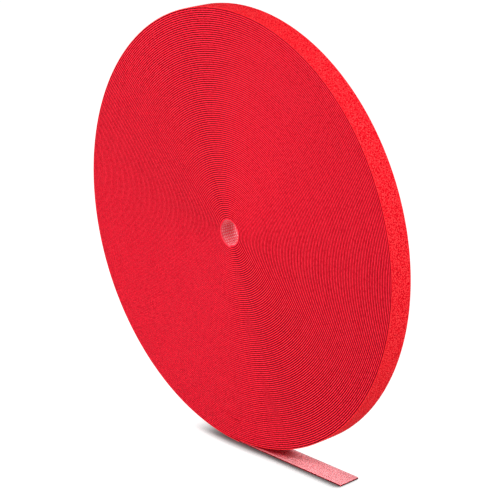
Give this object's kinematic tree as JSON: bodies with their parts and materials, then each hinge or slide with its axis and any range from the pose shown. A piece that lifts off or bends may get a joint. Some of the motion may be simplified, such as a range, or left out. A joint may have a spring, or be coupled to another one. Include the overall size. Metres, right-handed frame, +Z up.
{
  "type": "hook and loop tape roll",
  "caption": "Coreless roll of double-sided hook and loop tape standing on its rim, with a free end that lies flat and curls back up onto the rim.",
  "frame": {"origin": "on the table, under the roll's axis, at the middle of the tape's width", "axes": "+X along the free end, +Y along the roll's axis towards its back face, +Z up"},
  "size_m": [0.2935, 0.016, 0.2942],
  "materials": {
    "loop_fabric": "napped knitted loop, bright red",
    "hook_film": "moulded hook film, translucent pink",
    "tape_edges": "slit edges of the wound tape, red"
  },
  "bodies": {
    "roll": {"inner_turns": "tape_edges", "outer_turns_loop_ply": "loop_fabric", "outer_turns_hook_ply": "hook_film", "bore_turn_hook_ply": "hook_film"},
    "free_end_1": {"free_end_1_loop_ply": "loop_fabric", "free_end_1_hook_ply": "hook_film"},
    "free_end_2": {"free_end_2_loop_ply": "loop_fabric", "free_end_2_hook_ply": "hook_film"},
    "free_end_3": {"free_end_3_loop_ply": "loop_fabric", "free_end_3_hook_ply": "hook_film"},
    "free_end_4": {"free_end_4_loop_ply": "loop_fabric", "free_end_4_hook_ply": "hook_film"},
    "free_end_5": {"free_end_5_loop_ply": "loop_fabric", "free_end_5_hook_ply": "hook_film"}
  },
  "joints": [
    {"name": "curl_1", "type": "hinge", "parent": "roll", "child": "free_end_1", "pos_m": [0.00959, 0, 0.00105], "axis": [0, -1, 0], "range_deg": [0, 7.5]},
    {"name": "curl_2", "type": "hinge", "parent": "free_end_1", "child": "free_end_2", "pos_m": [0.02878, 0, 0.00105], "axis": [0, -1, 0], "range_deg": [0, 7.5]},
    {"name": "curl_3", "type": "hinge", "parent": "free_end_2", "child": "free_end_3", "pos_m": [0.04797, 0, 0.00105], "axis": [0, -1, 0], "range_deg": [0, 7.5]},
    {"name": "curl_4", "type": "hinge", "parent": "free_end_3", "child": "free_end_4", "pos_m": [0.06716, 0, 0.00105], "axis": [0, -1, 0], "range_deg": [0, 7.5]},
    {"name": "curl_5", "type": "hinge", "parent": "free_end_4", "child": "free_end_5", "pos_m": [0.08634, 0, 0.00105], "axis": [0, -1, 0], "range_deg": [0, 7.5]}
  ],
  "couplings": [
    {"joint": "curl_2", "follows": "curl_1", "ratio": 1},
    {"joint": "curl_3", "follows": "curl_1", "ratio": 1},
    {"joint": "curl_4", "follows": "curl_1", "ratio": 1},
    {"joint": "curl_5", "follows": "curl_1", "ratio": 1}
  ]
}
